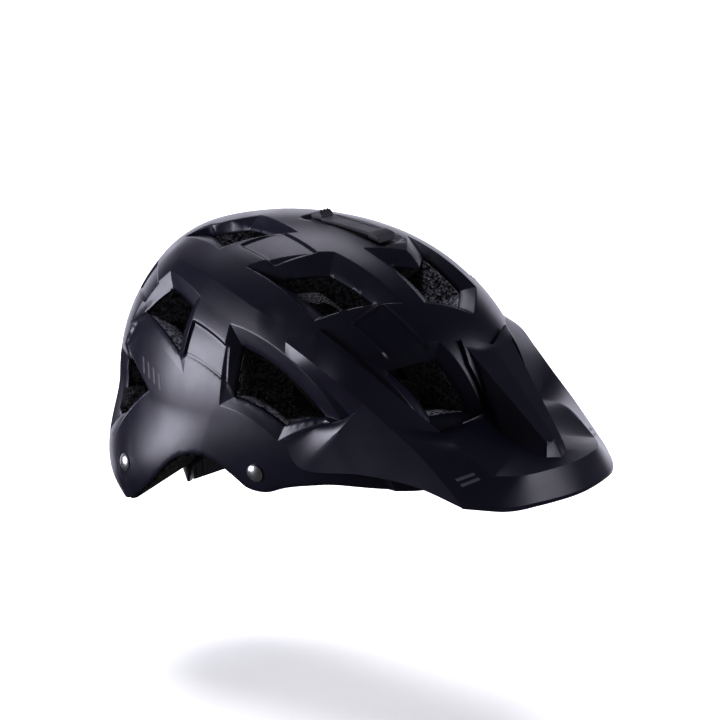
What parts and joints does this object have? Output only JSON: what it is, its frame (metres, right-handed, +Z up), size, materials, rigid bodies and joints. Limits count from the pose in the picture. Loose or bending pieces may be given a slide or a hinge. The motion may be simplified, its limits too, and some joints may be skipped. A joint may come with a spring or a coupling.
{
  "type": "cycling helmet",
  "caption": "Trail cycling helmet with a long visor, angular vents, foam liner, crown accessory mount, fit dial, straps and buckle.",
  "frame": {"origin": "under the middle of the bounding box in X and Y, at the level of the lowest point, the foam's rear lobes", "axes": "+X forward, towards the visor's front edge; +Y to the wearer's left; +Z up through the crown"},
  "size_m": [0.3604, 0.201, 0.203],
  "materials": {
    "shell": "matte lacquered polycarbonate, near black with a slight violet tint",
    "visor_plastic": "matte moulded nylon, the shell's colour",
    "eps_foam": "black expanded polystyrene, beaded",
    "rivet_steel": "polished dome",
    "anchor_plastic": "moulded",
    "divider_plastic": "satin moulded",
    "webbing": "woven polyester",
    "buckle_plastic": "satin acetal",
    "pad_fabric": "brushed knit over foam",
    "mount_plastic": "fine texture",
    "dial_rubber": "soft ribbed grip",
    "fit_plastic": "smooth nylon"
  },
  "bodies": {
    "helmet": {"outer_shell": "shell", "eps_liner": "eps_foam", "visor_disc_left": "fit_plastic", "visor_disc_right": "fit_plastic", "mount_base": "mount_plastic", "mount_stop": "mount_plastic", "rivet_front_left": "rivet_steel", "rivet_front_right": "rivet_steel", "rivet_rear_left": "rivet_steel", "rivet_rear_right": "rivet_steel", "strap_anchor_front_left": "anchor_plastic", "strap_anchor_front_right": "anchor_plastic", "strap_anchor_rear_left": "anchor_plastic", "strap_anchor_rear_right": "anchor_plastic", "strap_front_left": "webbing", "strap_front_right": "webbing", "strap_rear_left": "webbing", "strap_rear_right": "webbing", "chin_strap_left": "webbing", "chin_strap_right": "webbing", "strap_divider_left": "divider_plastic", "strap_divider_right": "divider_plastic", "buckle_female": "buckle_plastic", "temple_pin_left": "fit_plastic", "temple_pin_right": "fit_plastic", "brow_pad": "pad_fabric", "crown_pad": "pad_fabric", "side_pad_left": "pad_fabric", "side_pad_right": "pad_fabric", "rear_pad_left": "pad_fabric", "rear_pad_right": "pad_fabric"},
    "visor": {"visor": "visor_plastic"},
    "mount_cover": {"mount_cover": "mount_plastic"},
    "mount_latch": {"mount_latch": "mount_plastic"},
    "divider_lever_left": {"divider_lever_left": "divider_plastic"},
    "divider_lever_right": {"divider_lever_right": "divider_plastic"},
    "buckle_male": {"buckle_male": "buckle_plastic"},
    "cradle": {"fit_cradle": "fit_plastic", "cradle_cover": "fit_plastic", "cradle_wing_left": "fit_plastic", "cradle_wing_right": "fit_plastic", "temple_arm_left": "fit_plastic", "temple_arm_right": "fit_plastic"},
    "dial": {"fit_dial": "dial_rubber", "dial_pinion": "fit_plastic"},
    "rack_left": {"rack_left": "fit_plastic"},
    "rack_right": {"rack_right": "fit_plastic"}
  },
  "joints": [
    {"name": "visor_tilt", "type": "hinge", "parent": "helmet", "child": "visor", "pos_m": [0.0242, 0, 0.13855], "axis": [0, -1, 0], "range_deg": [0, 12]},
    {"name": "mount_cover_slide", "type": "slide", "parent": "helmet", "child": "mount_cover", "axis": [0.1159, 0, 0.9933], "range_m": [0, 0.02]},
    {"name": "mount_latch_turn", "type": "hinge", "parent": "helmet", "child": "mount_latch", "pos_m": [-0.0286, 0, 0.19925], "axis": [0, -1, 0], "range_deg": [0, 25]},
    {"name": "divider_lever_turn_left", "type": "hinge", "parent": "helmet", "child": "divider_lever_left", "pos_m": [-0.07632, 0.06602, 0.08422], "axis": [0, 0.0149, -0.9999], "range_deg": [0, 80]},
    {"name": "divider_lever_turn_right", "type": "hinge", "parent": "helmet", "child": "divider_lever_right", "pos_m": [-0.07632, -0.06602, 0.08422], "axis": [0, 0.0149, 0.9999], "range_deg": [0, 80]},
    {"name": "buckle_release", "type": "slide", "parent": "helmet", "child": "buckle_male", "axis": [0, 1, 0], "range_m": [0, 0.014], "deforming": ["chin_strap_left"]},
    {"name": "cradle_tilt", "type": "hinge", "parent": "helmet", "child": "cradle", "pos_m": [0.0024, 0, 0.07435], "axis": [0, -1, 0], "range_deg": [0, 8]},
    {"name": "dial_turn", "type": "hinge", "parent": "cradle", "child": "dial", "pos_m": [-0.118, 0, 0.02105], "axis": [1, 0, 0], "range_deg": [-110, 110]},
    {"name": "rack_slide_right", "type": "slide", "parent": "cradle", "child": "rack_right", "axis": [0, -1, 0], "range_m": [-0.00863, 0.00863]},
    {"name": "rack_slide_left", "type": "slide", "parent": "cradle", "child": "rack_left", "axis": [0, 1, 0], "range_m": [-0.00863, 0.00863]}
  ],
  "couplings": [
    {"joint": "dial_turn", "follows": "rack_slide_right", "rad_per_m": 222.22},
    {"joint": "rack_slide_left", "follows": "rack_slide_right", "ratio": 1}
  ]
}
